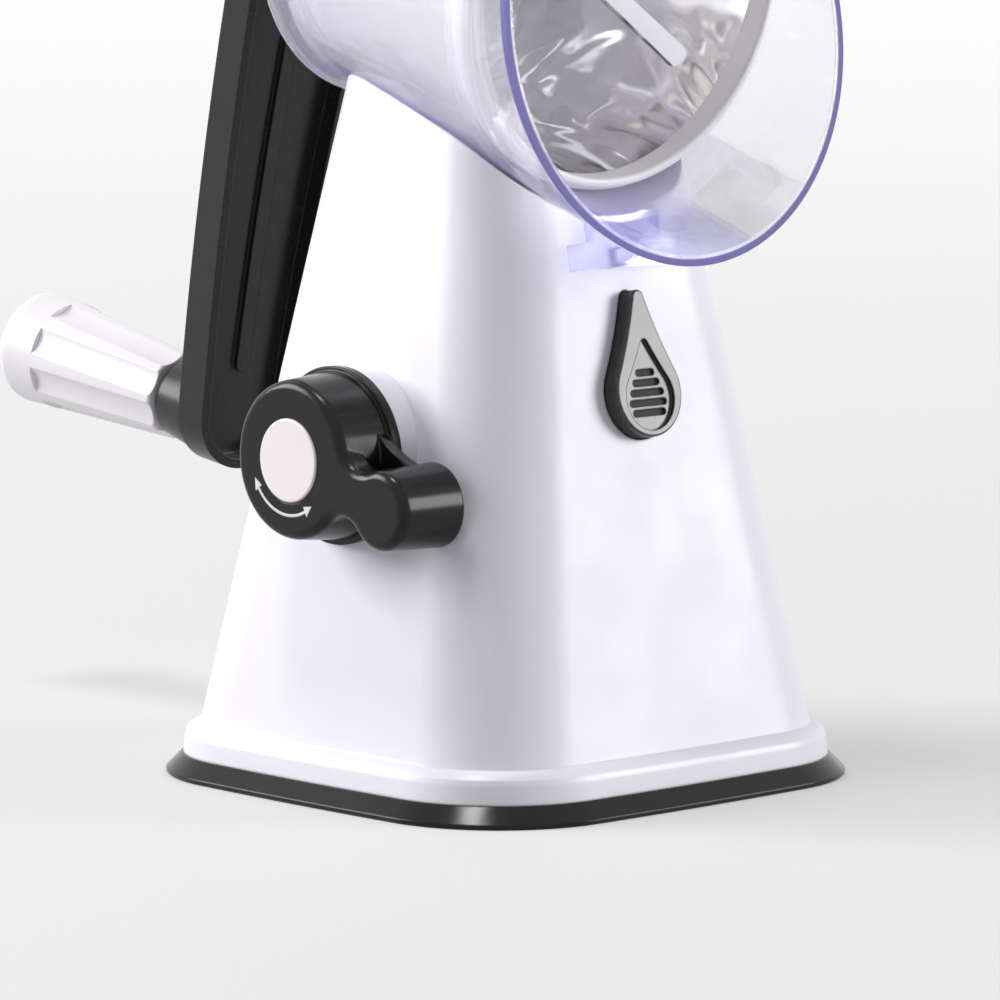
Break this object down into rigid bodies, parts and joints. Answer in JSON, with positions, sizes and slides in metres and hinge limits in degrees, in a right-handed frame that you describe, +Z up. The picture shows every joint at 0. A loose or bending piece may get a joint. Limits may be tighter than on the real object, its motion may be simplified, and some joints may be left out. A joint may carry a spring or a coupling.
{
  "type": "rotary cabbage shredder",
  "caption": "Hand cranked rotary shredder: clear barrel with a feed chute and a slotted steel drum, on a tapered tower with a lever-locked suction base.",
  "frame": {"origin": "centre of the suction cup's underside, where it rests on the worktop", "axes": "+Z up; the drum's mouth and the release button face -Y; the lock knob is on the -X side; the crank is behind at +Y"},
  "size_m": [0.1408, 0.2533, 0.313],
  "materials": {
    "white_plastic": "smooth moulded, soft gloss",
    "frame_plastic": "fine moulded texture",
    "black_plastic": "satin moulded black",
    "button_plastic": "fine satin charcoal",
    "clear_plastic": "clear with a faint violet tint",
    "drum_steel": "bright rolled stainless",
    "steel": "plain zinc-coated",
    "rubber": "smooth black"
  },
  "bodies": {
    "root": {"tower_shell": "white_plastic", "suction_cup": "rubber", "base_frame": "frame_plastic", "base_screws": "steel", "wall_bush": "frame_plastic", "button_guide": "frame_plastic", "button_spring": "steel"},
    "lock": {"lock_knob": "black_plastic", "knob_cap": "white_plastic", "knob_screw": "steel", "cam_shaft": "steel"},
    "stem": {"cup_stem": "frame_plastic"},
    "release": {"release_button": "button_plastic", "button_latch": "frame_plastic"},
    "housing": {"barrel_housing": "clear_plastic", "shaft_bush": "frame_plastic"},
    "crank": {"crank_arm": "black_plastic", "drive_shaft": "steel", "arm_screw": "steel", "arm_cap": "black_plastic", "grip_ferrule": "black_plastic", "grip_axle": "steel"},
    "grip": {"grip_sleeve": "white_plastic", "grip_plug": "white_plastic"},
    "drum": {"drum_body": "drum_steel", "drum_ring": "white_plastic", "drum_hub": "white_plastic", "drum_rivets": "drum_steel"},
    "pusher": {"pusher_body": "white_plastic", "pusher_cap": "white_plastic"}
  },
  "joints": [
    {"name": "housing_lift", "type": "slide", "parent": "root", "child": "housing", "axis": [0, 0, 1], "range_m": [0, 0.06]},
    {"name": "crank_turn", "type": "hinge", "parent": "housing", "child": "crank", "pos_m": [0, 0.05926, 0.21069], "axis": [0, -0.9877, -0.1564], "continuous": true},
    {"name": "grip_spin", "type": "hinge", "parent": "crank", "child": "grip", "pos_m": [0, 0.13983, 0.08555], "axis": [0, -0.9877, -0.1564], "continuous": true},
    {"name": "drum_pull", "type": "slide", "parent": "crank", "child": "drum", "axis": [0, -0.9877, -0.1564], "range_m": [0, 0.11]},
    {"name": "pusher_lift", "type": "slide", "parent": "housing", "child": "pusher", "axis": [0, 0, 1], "range_m": [0, 0.06]},
    {"name": "knob_turn", "type": "hinge", "parent": "root", "child": "lock", "pos_m": [-0.06, 0, 0.0825], "axis": [-1, 0, 0], "range_deg": [0, 120]},
    {"name": "stem_lift", "type": "slide", "parent": "root", "child": "stem", "axis": [0, 0, 1], "range_m": [0, 0.004]},
    {"name": "button_press", "type": "slide", "parent": "root", "child": "release", "axis": [0, 0.9834, -0.1814], "range_m": [0, 0.003], "stiffness_N_per_m": 400, "springref_m": -0.003, "deforming": ["button_spring"]}
  ],
  "couplings": [
    {"joint": "stem_lift", "follows": "knob_turn", "m_per_rad": 0.0019}
  ]
}
